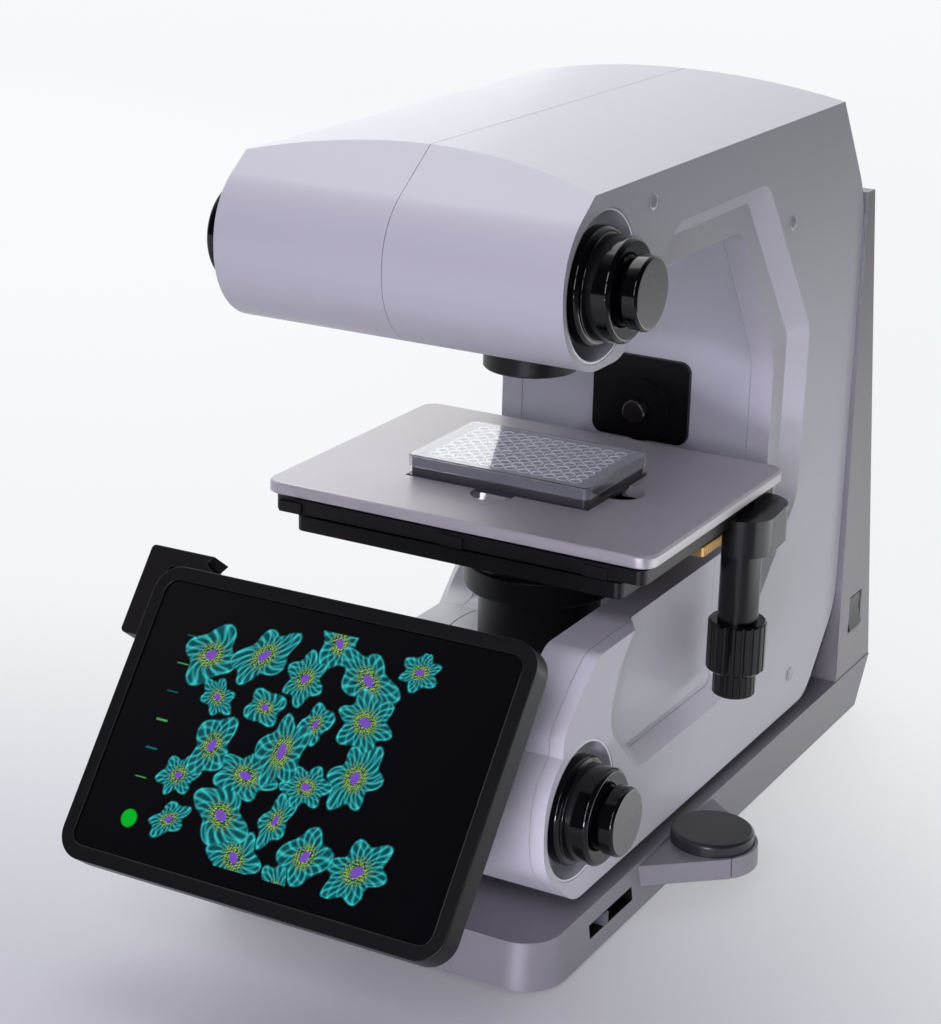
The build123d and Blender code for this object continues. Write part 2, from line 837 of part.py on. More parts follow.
def objective_places():
    step = 2 * pi / objective_count
    return [(objective_pitch * cos(k * step - pi / 2), turret_y + objective_pitch * sin(k * step - pi / 2))
            for k in range(objective_count)]


def turret_disc():
    disc = rod_z(0, turret_y, turret_r, turret_low, turret_high)
    disc = chamfer(disc.edges().filter_by(GeomType.CIRCLE), objective_r / 8)
    disc += rod_z(0, turret_y, turret_pin_r, turret_low - turret_pin_long, turret_low + seam)
    for x, y in objective_places():
        disc -= rod_z(x, y, objective_r - 2 * gap, turret_low - over, turret_high + over)
    return disc


def objectives():
    # One barrel for each place, longer tapers at the higher powers
    barrels = []
    for k, (x, y) in enumerate(objective_places()):
        rise = objective_tip - turret_high
        taper = rise * (objective_taper + objective_taper_step * k)
        nose = objective_r * (objective_nose - objective_nose_step * k)
        thread = objective_r - 2 * gap
        foot = turret_low + objective_r / 2
        points = [(0, foot), (thread, foot), (thread, turret_high),
                  (objective_r, turret_high), (objective_r, objective_tip - taper),
                  (nose, objective_tip), (nose / 2, objective_tip), (nose / 2, objective_tip - nose / 3),
                  (0, objective_tip - nose / 3)]
        barrels.append(Pos(x, y, 0) * revolve(Plane.XZ * make_face(Polyline(*points, close=True)), Axis.Z))
    return Compound(children=barrels)


def condenser_barrel():
    bore = condenser_r - 2 * wall
    barrel = rod_z(0, 0, condenser_r, condenser_low, condenser_high)
    barrel = chamfer(barrel.edges().filter_by(GeomType.CIRCLE), wall / 4)
    barrel -= rod_z(0, 0, bore - 2 * gap, condenser_low - over, condenser_high + over)
    barrel -= rod_z(0, 0, bore, condenser_low - over, condenser_low + lens_thick)
    barrel += vertical_rack(condenser_pinion_y(), condenser_pinion_z, rack_long)
    floor = body_at(outline_shares[4])[1] + wall + gap
    low = floor + condenser_travel + gap
    return barrel + rail_shoe(condenser_rail_y(), bore + wall, low, condenser_high + rail_thick)


def condenser_lens():
    bore = condenser_r - 2 * wall - gap / 2
    ball_r = (bore ** 2 + lens_sag ** 2) / (2 * lens_sag)
    ball = Pos(0, 0, condenser_low + ball_r) * Sphere(ball_r)
    return rod_z(0, 0, bore, condenser_low, condenser_low + lens_thick) & ball


def condenser_rail():
    floor = body_at(outline_shares[4])[1] + wall + gap
    y = condenser_rail_y()
    return block(-rail_half, rail_half, y, y + rail_thick, floor, lamp_plate_low())


def lamp_plate_low():
    return body_top - crown_drop - 2 * wall - chassis_thick


def lamp_module():
    top = lamp_plate_low()
    module = rod_z(0, 0, lamp_r, top - lamp_high, top)
    module -= rod_z(0, 0, lamp_r / 2, top - lamp_high - over, top - lamp_high / 2)
    return module + rod_z(0, 0, lamp_r / 4, top - lamp_high + seam, top - lamp_high / 3)


def stage_outline(grow, corner):
    return make_face(FilletPolyline(
        (-stage_half - grow, stage_front - grow), (stage_half + grow, stage_front - grow),
        (stage_half + grow, stage_rear + grow), (-stage_half - grow, stage_rear + grow),
        radius=corner, close=True))


def stage_plate():
    low = stage_top - stage_thick
    plate = prism_z(stage_outline(0, stage_corner), low, stage_top)
    top_edges = plate.faces().sort_by(Axis.Z)[-1].edges()
    plate = chamfer(top_edges, stage_edge)
    pocket_x, pocket_y = plate_long / 2 + gap, plate_wide / 2 + gap
    plate -= block(-pocket_x, pocket_x, -pocket_y, pocket_y, plate_floor, stage_top + over)
    hole_x, hole_y = pocket_x - ledge, pocket_y - ledge
    plate -= block(-hole_x, hole_x, -hole_y, hole_y, low - over, stage_top)
    for x, y in ((0, -pocket_y - notch_r / 6), (0, pocket_y + notch_r / 6),
                 (-pocket_x - notch_r / 6, 0), (pocket_x + notch_r / 6, 0)):
        plate -= rod_z(x, y, notch_r, low - over, stage_top + over)
    clamp_y = belt_back_y + drive_pulley_r + gap + belt_thick / 2
    clamp = block(-clamp_half, clamp_half, clamp_y - belt_thick / 2 - gap - clamp_wall,
                  clamp_y + belt_thick / 2 + gap + clamp_wall, belt_low, low)
    clamp -= block(-clamp_half - over, clamp_half + over, clamp_y - belt_thick / 2 - gap,
                   clamp_y + belt_thick / 2 + gap, belt_low - over, belt_high + gap)
    return plate + clamp


def belt_corners():
    return [(drive_x, drive_y), (frame_right, belt_back_y), (frame_left, belt_back_y)]


def stage_belt():
    return prism_z(drive_belt(belt_corners(), drive_pulley_r), belt_low, belt_high)


def mid_carriage():
    front, rear = stage_front + wall, stage_rear - wall
    plate = make_face(FilletPolyline((-carriage_half, front), (carriage_half, front), (carriage_half, rear),
                                     (-carriage_half, rear), radius=stage_corner / 2, close=True))
    carriage = prism_z(plate, carriage_low, carriage_top)
    carriage -= block(-window_half, window_half, front + 5 * wall, drive_y, carriage_low - over,
                      carriage_top + over)
    room = drive_pulley_r + gap + belt_thick + gap
    pocket = hull_of_circles([(x, y, room) for x, y in belt_corners()])
    grow = prism_z(pocket, belt_low - gap, carriage_top + over)
    back = belt_back_y + drive_pulley_r + gap + belt_thick / 2
    grow += block(-travel_x - clamp_half - wall, travel_x + clamp_half + wall, back - clamp_wall - wall / 2,
                  back + clamp_wall + wall / 2, belt_low - gap, carriage_top + over)
    carriage -= grow
    carriage -= rod_z(drive_x, drive_y, drive_shaft_r + gap, carriage_low - over, carriage_top)
    for x, y in belt_corners()[1:]:
        carriage += rod_z(x, y, drive_pulley_r, carriage_low, belt_high)
    for share in latch_shares:
        tab = share * 2 * carriage_half
        carriage += block(tab - 2 * wall, tab + 2 * wall, front - wall / 2, front + wall,
                          carriage_low, carriage_top - wall / 2)
    return carriage


def stage_rails_x():
    rails = []
    for y in (stage_front + 2 * wall, stage_rear - wall - rail_width * 0.9):
        rails.append(block(-carriage_half + 3 * wall, carriage_half - 3 * wall, y, y + rail_width * 0.8,
                           carriage_top, stage_top - stage_thick - gap))
    return Compound(children=rails)


def stage_rails_y():
    rails = []
    for x in (frame_left + wall, frame_right - wall - rail_width):
        rails.append(block(x, x + rail_width, stage_front + 3 * wall, stage_rear - 2 * wall,
                           frame_top, carriage_low - gap))
    return Compound(children=rails)


def stage_frame():
    front, rear = stage_front + 2 * wall, stage_rear - wall
    plate = make_face(FilletPolyline((frame_left, front), (frame_right, front), (frame_right, rear),
                                     (frame_left, rear), radius=stage_corner / 2, close=True))
    frame = prism_z(plate, frame_low, frame_top)
    opening = turret_r + wall / 2
    frame -= block(-opening, opening, -opening + 2 * wall, turret_y + opening, frame_low - over,
                   frame_top + over)
    throat = body_at(outline_shares[6])[0] + panel_step
    arm_half = panel_half - 2 * wall
    frame += block(-arm_half, arm_half, turret_y + opening + wall, throat, frame_low - 2 * wall, frame_top)
    return frame - prism_x(throat_band(panel_step), -panel_half, panel_half)


def rack_y():
    pitch_x = drive_x - stage_pinion_r
    length = 2 * travel_y + 3 * stage_pinion_r
    face = Pos(pitch_x, drive_y) * Rot(0, 0, -90) * rack_face(length, stage_module, pitch_x - frame_right)
    return prism_z(face, frame_low, frame_low + rack_high)


def drive_housing():
    outline = hull_of_circles([(drive_x, drive_y, cap_r), (drive_x - wall / 2, drive_y + cap_back, cap_r)])
    cap = prism_z(outline, cap_low, cap_top)
    cap -= block(frame_left, drive_x - stage_pinion_r + 3 * gap + stage_module, stage_front, stage_rear,
                 cap_low - over, carriage_low - gap / 2)
    cap -= block(frame_left, carriage_half + gap, stage_front, stage_rear, carriage_low, cap_top + over)
    cap += rod_z(drive_x, drive_y, stem_r, stem_low, cap_low + wall)
    cap -= rod_z(drive_x, drive_y, drive_tube_r + fit, stem_low - over, frame_low)
    cap -= rod_z(drive_x, drive_y, stage_pinion_r + 2 * stage_module, frame_low - gap,
                 frame_low + rack_high + gap)
    cap -= rod_z(drive_x, drive_y, drive_shaft_r + fit, frame_low, belt_low)
    room = drive_pulley_r + gap + belt_thick + gap
    pocket = hull_of_circles([(x, y, room) for x, y in belt_corners()])
    cap -= prism_z(pocket, belt_low - gap, belt_high + gap)
    return cap


def ribbed_knob(r, low, high, bore, ribs):
    # Barrel knob on a vertical shaft with shallow grip flutes
    knob = rod_z(drive_x, drive_y, r, low, high)
    knob = chamfer(knob.edges().filter_by(GeomType.CIRCLE), r / 14)
    knob -= rod_z(drive_x, drive_y, bore, low + (high - low) / 5, high + over)
    for k in range(ribs):
        angle = 2 * pi * k / ribs
        flute = r / 14
        x, y = drive_x + (r + flute / 3) * cos(angle), drive_y + (r + flute / 3) * sin(angle)
        knob -= rod_z(x, y, flute, low - over, high + over)
    return knob


def knob_y_body():
    knob = ribbed_knob(knob_y_r, knob_y_low, stem_low - gap, drive_tube_r, knob_ribs)
    return knob - rod_z(drive_x, drive_y, drive_shaft_r + 2 * gap, knob_y_low - over, stem_low)


def knob_x_body():
    return ribbed_knob(knob_x_r, knob_x_low, knob_y_low - gap, drive_shaft_r, knob_ribs)


def pinion_y():
    gear = Rot(0, 0, 180) * gear_face(stage_pinion_r, stage_module, drive_shaft_r + fit)
    tube = prism_z(Pos(drive_x, drive_y) * gear, frame_low, frame_low + rack_high)
    low = knob_y_low + (stem_low - gap - knob_y_low) / 5
    tube += rod_z(drive_x, drive_y, drive_tube_r, low, frame_low + rack_high)
    return tube - rod_z(drive_x, drive_y, drive_shaft_r + fit, low - over, cap_top)


def shaft_x():
    low = knob_x_low + (knob_y_low - gap - knob_x_low) / 5
    shaft = rod_z(drive_x, drive_y, drive_shaft_r, low, belt_high)
    return shaft + rod_z(drive_x, drive_y, drive_pulley_r, belt_low, belt_high)


def well_plate():
    step = lid_wall + gap + gap
    base = RectangleRounded(plate_long, plate_wide, plate_corner)
    upper = RectangleRounded(plate_long - 2 * step, plate_wide - 2 * step, plate_corner - step / 2)
    top = plate_floor + plate_high
    plate = prism_z(base, plate_floor, plate_floor + plate_foot) + prism_z(upper, plate_floor, top)
    wells = [rod_z((i - well_columns / 2 + 0.5) * well_pitch, (j - well_rows / 2 + 0.5) * well_pitch, well_r,
                   plate_floor + plate_foot + lid_wall, top + over)
             for i in range(well_columns) for j in range(well_rows)]
    return plate - wells


def plate_lid():
    top = plate_floor + plate_high + gap + lid_wall
    long, wide = plate_long - gap, plate_wide - gap
    outer = RectangleRounded(long, wide, plate_corner)
    inner = RectangleRounded(long - 2 * lid_wall, wide - 2 * lid_wall, plate_corner - lid_wall)
    lid = prism_z(outer, top - lid_skirt, top)
    return lid - prism_z(inner, top - lid_skirt - over, top - lid_wall)


def tablet_frame():
    # The tablet's own axes: X along its long side, Y up its glass, Z out of its glass
    return (Pos(tablet_x, tablet_y, tablet_z) * Rot(0, 0, tablet_yaw) * Rot(tablet_tilt, 0, 0)
            * Rot(0, 0, tablet_roll))


def slab(long, wide, corner, z0, z1):
    return prism_z(RectangleRounded(long, wide, corner), z0, z1)


def tablet_glass():
    return tablet_frame() * slab(glass_long, glass_wide, case_corner - case_margin, -glass_thick, 0)


def tablet_body():
    return tablet_frame() * slab(glass_long, glass_wide, case_corner - case_margin,
                                 -glass_thick - tablet_thick, -glass_thick)


def tablet_case():
    long, wide = glass_long + 2 * case_margin, glass_wide + 2 * case_margin
    outer = slab(long, wide, case_corner, -case_back, case_lip)
    outer = chamfer(outer.faces().sort_by(Axis.Z)[0].edges(), case_margin / 2)
    pocket = slab(glass_long + 2 * gap, glass_wide + 2 * gap, case_corner - case_margin + gap,
                  -glass_thick - tablet_thick, case_lip + over)
    hollow = slab(glass_long - 4 * case_margin, glass_wide - 4 * case_margin, case_corner - case_margin,
                  -case_back + wall, -glass_thick)
    return tablet_frame() * (outer - pocket - hollow)


def holder_grip():
    # Corner clamp that wraps the top left of the case and runs behind it
    x0, x1 = -glass_long / 2 - grip_out, -glass_long / 2 + grip_in
    y0, y1 = glass_wide / 2 - grip_down, glass_wide / 2 + grip_up
    z0 = -case_back - case_margin / 2
    grip = block(x0, x1, y0, y1, z0, grip_front)
    grip = fillet(grip.edges().filter_by(Axis.Z), case_margin / 3)
    cut_x, cut_y = glass_long / 2 + case_margin, glass_wide / 2 + case_margin
    grip -= block(-cut_x, cut_x, -cut_y, cut_y, -case_back, case_lip + over)
    corner = Box(2.2 * case_margin, 3 * case_margin, 12 * case_margin)
    slope = Pos(x1, y1, z0) * Rot(0, 0, -grip_slope) * corner
    return tablet_frame() * (grip - slope)


def tablet_bracket():
    # Back plate with two ears for the tilt pin
    plate = block(-bracket_half, bracket_half, -bracket_half * 0.8, bracket_half * 0.8,
                  -case_back - bracket_thick, -case_back)
    plate = fillet(plate.edges().filter_by(Axis.Z), case_margin)
    for side in (-1, 1):
        x0, x1 = sorted((side * (knuckle_half + gap), side * (knuckle_half + gap + 2 * bracket_thick)))
        ear = block(x0, x1, -hinge_r, hinge_r, -hinge_back, -case_back - bracket_thick / 2)
        plate += ear + rod_x(0, -hinge_back, hinge_r, x0, x1)
        plate -= rod_x(0, -hinge_back, hinge_pin_r, x0 - over / 3, x1 + over / 3)
    return tablet_frame() * plate


def hinge_pin():
    end = knuckle_half + gap + 2 * bracket_thick
    return tablet_frame() * rod_x(0, -hinge_back, hinge_pin_r, -end, end)


def pivot():
    return (tablet_frame() * Pos(0, 0, -hinge_back)).position


def mount_arm():
    # Cranked arm from the front of the lower cover to the knuckle
    x, y, z = pivot()
    front = body_front
    half = knuckle_half - wall
    side = FilletPolyline((front, knob_low_z - arm_high), (front, knob_low_z + arm_high),
                          (y + hinge_r, z + hinge_r), (y, z + hinge_r / 2), (y - hinge_r / 2, z),
                          (y, z - hinge_r), radius=wall / 2, close=True)
    arm = prism_x(make_face(side), x - half, x + half)
    arm += tablet_frame() * rod_x(0, -hinge_back, hinge_r, -knuckle_half, knuckle_half)
    arm -= tablet_frame() * rod_x(0, -hinge_back, hinge_pin_r + fit, -2 * knuckle_half, 2 * knuckle_half)
    foot_half, foot_high = knuckle_half + 3 * wall, arm_high + wall
    return arm + block(x - foot_half, x + foot_half, front - wall, front, knob_low_z - foot_high,
                       knob_low_z + foot_high)


def throat_box():
    panel = body_at(outline_shares[6])[0] + panel_step
    face = Pos(0, (box_low + box_top) / 2) * RectangleRounded(2 * box_half, box_top - box_low, box_corner)
    box = prism_y(face, panel - box_deep, panel)
    box += rod_y(0, box_knob_z, box_boss_r, panel - 1.5 * box_deep, panel)
    box += rod_y(0, box_knob_z, box_pin_r, panel - 3 * box_deep, panel)
    return box


def box_knob():
    panel = body_at(outline_shares[6])[0] + panel_step
    start = panel - 1.5 * box_deep - gap
    knob = rod_y(0, box_knob_z, box_knob_r, panel - 3.8 * box_deep, start)
    knob = chamfer(knob.edges().filter_by(GeomType.CIRCLE), box_knob_r / 8)
    return knob - rod_y(0, box_knob_z, box_pin_r + fit, panel - 3 * box_deep - gap, start + over)


def screw_caps():
    caps = []
    for y, z in cap_places:
        for side in (-1, 1):
            stem = screw_stem_r - gap / 2
            face = body_half
            seat = face - wall / 3 + gap / 3
            points = [(seat, 0), (seat, stem), (face, stem), (face, screw_r),
                      (face + screw_r / 6, screw_r * 0.86), (face + screw_r / 3.6, screw_r * 0.5),
                      (face + screw_r / 3.2, 0)]
            caps.append(turned_x(points, y, z, side))
    return Compound(children=caps)


def power_inlet():
    rear = column_rear_at(inlet_z)
    half = inlet_half - gap / 2
    body = block(inlet_x - half, inlet_x + half, rear - 3 * column_wall + gap, rear - wall / 2,
                 inlet_z - half, inlet_z + half)
    return body - rod_y(inlet_x, inlet_z, inlet_r, rear - 2 * column_wall, rear + over)


def light_dial():
    floor = base_top - 2 * pad_thick - dial_high / 4 + gap
    top = floor + dial_high
    dial = rod_z(dial_x, dial_y, dial_r, floor, top)
    dial = chamfer(dial.edges().filter_by(GeomType.CIRCLE).sort_by(Axis.Z)[-1], dial_high / 7)
    return dial - rod_z(dial_x, dial_y, dial_pin_r + fit, floor - over, base_top + gap)


def base_slider():
    middle = slot_front + slider_share * (slot_rear - slot_front)
    floor = base_half - slot_deep - wall
    return block(floor + gap, base_half - slider_half / 3, middle - slider_half, middle + slider_half,
                 slot_low + gap, slot_high - gap)


def rocker():
    # Rocker pressed at its top, on a pin across the pocket
    floor = column_half_at(switch_z) - switch_deep
    half = switch_high / 2 - 2 * gap - wall / 4
    mid = floor + switch_deep / 2
    face = Polyline((mid - wall / 4, switch_z - half), (floor + 1.15 * switch_deep, switch_z - half),
                    (floor + 0.88 * switch_deep, switch_z), (floor + 0.9 * switch_deep, switch_z + half),
                    (mid - wall / 4, switch_z + half), close=True)
    reach = switch_long / 2 - gap
    pin = reach + gap + trunnion_long
    body = prism_y(make_face(face), switch_y - reach, switch_y + reach)
    return body + rod_y(trunnion_x, switch_z, trunnion_r, switch_y - pin, switch_y + pin)


hollow_body = body_solid(0) - body_solid(wall)
pieces = {
    "base_casting": base_casting, "base_pad": base_pad, "rear_column": rear_column, "chassis": chassis,
    "lower_cover": lower_cover, "throat_cover": throat_cover, "rear_cover": rear_cover,
    "frame_bolts": frame_bolts, "knob_cups": knob_cups, "shaft_bushes": shaft_bushes,
    "screw_caps": screw_caps, "throat_box": throat_box, "box_knob": box_knob, "mount_arm": mount_arm,
    "focus_rail": focus_rail, "condenser_rail": condenser_rail, "lamp_module": lamp_module,
    "power_inlet": power_inlet, "rocker": rocker, "base_slider": base_slider, "light_dial": light_dial,
    "stage_frame": stage_frame, "stage_rails_y": stage_rails_y, "rack_y": rack_y,
    "mid_carriage": mid_carriage, "stage_rails_x": stage_rails_x, "drive_housing": drive_housing,
    "stage_belt": stage_belt, "stage_plate": stage_plate, "knob_x": knob_x_body, "shaft_x": shaft_x,
    "knob_y": knob_y_body, "pinion_y": pinion_y, "well_plate": well_plate, "plate_lid": plate_lid,
    "focus_carriage": focus_carriage, "turret_disc": turret_disc, "objectives": objectives,
    "condenser_barrel": condenser_barrel, "condenser_lens": condenser_lens, "tablet_body": tablet_body,
    "tablet_glass": tablet_glass, "tablet_case": tablet_case, "tablet_bracket": tablet_bracket,
    "hinge_pin": hinge_pin, "holder_grip": holder_grip}
shapes = {name: make() for name, make in pieces.items()}
for name, side in (("shell_right", 1), ("shell_left", -1)):
    shapes[name] = side_shell(side)
focus_drive = (knob_low_z, focus_pinion_y(), focus_pinion_z)
condenser_drive = (knob_high_z, condenser_pinion_y(), condenser_pinion_z)
for level, drive, (z, pinion_y_at, pinion_z_at) in (("low", "focus", focus_drive),
                                                    ("high", "condenser", condenser_drive)):
    shapes["coarse_shaft_" + level] = coarse_shaft(z)
    shapes["fine_shaft_" + level] = fine_shaft(z)
    shapes["coarse_knobs_" + level] = Compound(children=[coarse_knob(side, z) for side in (-1, 1)])
    shapes["fine_knob_" + level] = fine_knob(1, z)
    shapes[drive + "_pinion"] = cross_pinion(pinion_y_at, pinion_z_at)
    shapes[drive + "_belt"] = focus_belt(pinion_y_at, pinion_z_at, z)
for name, shape in shapes.items():
    export_step(shape, "parts/" + name + ".step")
print(len(shapes), "pieces written")
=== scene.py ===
import json
import math
import bmesh
import bpy
import numpy as np
from mathutils import Matrix, Vector


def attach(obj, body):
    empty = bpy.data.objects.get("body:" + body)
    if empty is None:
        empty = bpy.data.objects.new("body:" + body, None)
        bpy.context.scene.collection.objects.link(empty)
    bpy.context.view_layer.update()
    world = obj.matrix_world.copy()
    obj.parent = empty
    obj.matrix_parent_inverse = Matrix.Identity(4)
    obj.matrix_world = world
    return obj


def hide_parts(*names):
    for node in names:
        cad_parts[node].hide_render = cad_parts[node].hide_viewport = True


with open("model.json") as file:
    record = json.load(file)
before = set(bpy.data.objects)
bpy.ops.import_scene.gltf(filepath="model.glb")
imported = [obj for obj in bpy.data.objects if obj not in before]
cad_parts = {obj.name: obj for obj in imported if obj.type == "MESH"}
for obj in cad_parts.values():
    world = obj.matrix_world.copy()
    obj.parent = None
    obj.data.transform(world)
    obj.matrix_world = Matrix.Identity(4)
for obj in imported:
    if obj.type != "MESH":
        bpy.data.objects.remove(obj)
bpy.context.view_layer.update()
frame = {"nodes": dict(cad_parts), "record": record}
scene = bpy.context.scene
bodies = frame["record"]["behaviour"]["bodies"]
bodyOfNode = {node: body for body, nodes in bodies.items() for node in nodes}
print("frame loaded:", len(frame["nodes"]), "pieces")

# Camera: its place and farthest sight in metres, its angles in degrees, its lens and film in millimetres
view = {"place": (0.67262, -1.28841, 0.72634), "azimuth": 28.97, "elevation": 19.22, "roll": 1.316,
        "lens": 85.07, "film": 36, "farthest": 60}


def makeCamera():
    # back points from the object to the camera; the picture is turned by the roll about it
    azimuth, elevation, roll = (math.radians(view[key]) for key in ("azimuth", "elevation", "roll"))
    back = Vector((math.sin(azimuth) * math.cos(elevation), -math.cos(azimuth) * math.cos(elevation),
                   math.sin(elevation)))
    right = Vector((0, 0, 1)).cross(back).normalized()
    up = back.cross(right)
    turnedRight = math.cos(roll) * right + math.sin(roll) * up
    turnedUp = math.cos(roll) * up - math.sin(roll) * right
    data = bpy.data.cameras.new("camera")
    data.lens = view["lens"]
    data.sensor_width = view["film"]
    data.clip_end = view["farthest"]
    camera = bpy.data.objects.new("camera", data)
    turn = Matrix((turnedRight, turnedUp, back)).transposed().to_4x4()
    camera.matrix_world = Matrix.Translation(view["place"]) @ turn
    scene.collection.objects.link(camera)
    scene.camera = camera


makeCamera()

# Finishes: linear colour and gloss; bump is fine noise, brush is noise drawn out along the piece
finishes = {
    "shell": {"color": (0.70, 0.70, 0.745), "rough": 0.36, "coat": 0.08, "bump": 0.02},
    "throat": {"color": (0.80, 0.83, 0.88), "rough": 0.36, "coat": 0.15, "bump": 0.02},
    "frame": {"color": (0.30, 0.295, 0.315), "rough": 0.36, "metal": 0.30, "bump": 0.04},
    "pad": {"color": (0.02, 0.02, 0.02), "rough": 0.8},
    "cup": {"color": (0.80, 0.81, 0.84), "rough": 0.22, "metal": 0.35, "coat": 0.3},
    "steel": {"color": (0.50, 0.50, 0.52), "rough": 0.25, "metal": 1.0, "brush": 0.08},
    "darkSteel": {"color": (0.10, 0.095, 0.095), "rough": 0.30, "metal": 0.9, "brush": 0.10},
    "bronze": {"color": (0.48, 0.33, 0.13), "rough": 0.38, "metal": 0.9},
    "cap": {"color": (0.46, 0.47, 0.50), "rough": 0.22, "coat": 0.5},
    "stage": {"color": (0.50, 0.48, 0.50), "rough": 0.38, "metal": 0.45, "bump": 0.03},
    "mechanism": {"color": (0.006, 0.006, 0.007), "rough": 0.40, "spec": 0.3},
    "gloss": {"color": (0.003, 0.003, 0.004), "rough": 0.10, "coat": 0.15, "spec": 0.35},
    "knobFace": {"color": (0.19, 0.185, 0.19), "rough": 0.28, "metal": 0.9, "brush": 0.05},
    "satin": {"color": (0.005, 0.005, 0.006), "rough": 0.38, "spec": 0.3},
    "drive": {"color": (0.004, 0.004, 0.005), "rough": 0.24, "spec": 0.35},
    "rubber": {"color": (0.012, 0.012, 0.012), "rough": 0.65},
    "glass": {"color": (0.002, 0.002, 0.003), "rough": 0.05},
    "case": {"color": (0.004, 0.004, 0.005), "rough": 0.36, "spec": 0.25},
    "grip": {"color": (0.005, 0.004, 0.006), "rough": 0.42, "spec": 0.25},
    "clear": {"color": (0.93, 0.95, 0.98), "rough": 0.03, "through": 0.96, "coat": 0.8},
    "lens": {"color": (0.75, 0.85, 0.95), "rough": 0.02, "through": 0.9},
    "plate": {"color": (0.050, 0.050, 0.055), "rough": 0.25},
    # well rims: white plastic, and their small glow is painted light so that they read bright under the lid
    "rim": {"color": (0.85, 0.87, 0.90), "rough": 0.15, "glow": 0.22},
    "diffuser": {"color": (0.8, 0.8, 0.75), "rough": 0.5},
    "dial": {"color": (0.016, 0.017, 0.020), "rough": 0.30, "coat": 0.2},
    "tab": {"color": (0.10, 0.11, 0.13), "rough": 0.35},
}

# What all finishes share: scales and detail of the two noises, depth of the bump in metres
texture = {"cloudScale": 30, "cloudDetail": 3, "cloudShare": 0.12, "grainScale": 1400, "grainDetail": 2,
           "brushStretch": (1, 0.04, 1), "depth": 0.0004, "coatRough": 0.10, "index": 1.49}


def makeNoise(tree, place, scale, detail):
    # Cloudy noise over a place, from 0 to 1
    noise = tree.nodes.new("ShaderNodeTexNoise")
    noise.inputs["Scale"].default_value = scale
    noise.inputs["Detail"].default_value = detail
    tree.links.new(place, noise.inputs["Vector"])
    return noise.outputs["Fac"]


def makeGrain(tree, place, look):
    # Bump of fine noise, which a brushed finish draws out along y
    if "brush" in look:
        stretch = tree.nodes.new("ShaderNodeMapping")
        stretch.inputs["Scale"].default_value = texture["brushStretch"]
        tree.links.new(place, stretch.inputs["Vector"])
        place = stretch.outputs["Vector"]
    bump = tree.nodes.new("ShaderNodeBump")
    bump.inputs["Strength"].default_value = look.get("bump", 0) + look.get("brush", 0)
    bump.inputs["Distance"].default_value = texture["depth"]
    grain = makeNoise(tree, place, texture["grainScale"], texture["grainDetail"])
    tree.links.new(grain, bump.inputs["Height"])
    return bump.outputs["Normal"]


def makeFinish(name):
    # Principled surface whose roughness drifts a little around its own value
    look = finishes[name]
    material = bpy.data.materials.new(name)
    material.use_nodes = True
    tree = material.node_tree
    shader = tree.nodes["Principled BSDF"]
    shader.inputs["Base Color"].default_value = (*look["color"], 1)
    shader.inputs["Metallic"].default_value = look.get("metal", 0)
    shader.inputs["Coat Weight"].default_value = look.get("coat", 0)
    shader.inputs["Coat Roughness"].default_value = texture["coatRough"]
    shader.inputs["Transmission Weight"].default_value = look.get("through", 0)
    shader.inputs["IOR"].default_value = texture["index"]
    shader.inputs["Specular IOR Level"].default_value = look.get("spec", 0.5)
    shader.inputs["Emission Color"].default_value = (*look["color"], 1)
    shader.inputs["Emission Strength"].default_value = look.get("glow", 0)
    place = tree.nodes.new("ShaderNodeTexCoord").outputs["Object"]
    drift = tree.nodes.new("ShaderNodeMapRange")
    drift.inputs["To Min"].default_value = look["rough"] * (1 - texture["cloudShare"])
    drift.inputs["To Max"].default_value = look["rough"] * (1 + texture["cloudShare"])
    cloud = makeNoise(tree, place, texture["cloudScale"], texture["cloudDetail"])
    tree.links.new(cloud, drift.inputs["Value"])
    tree.links.new(drift.outputs["Result"], shader.inputs["Roughness"])
    if "bump" in look or "brush" in look:
        tree.links.new(makeGrain(tree, place, look), shader.inputs["Normal"])
    return material


materials = {name: makeFinish(name) for name in finishes}

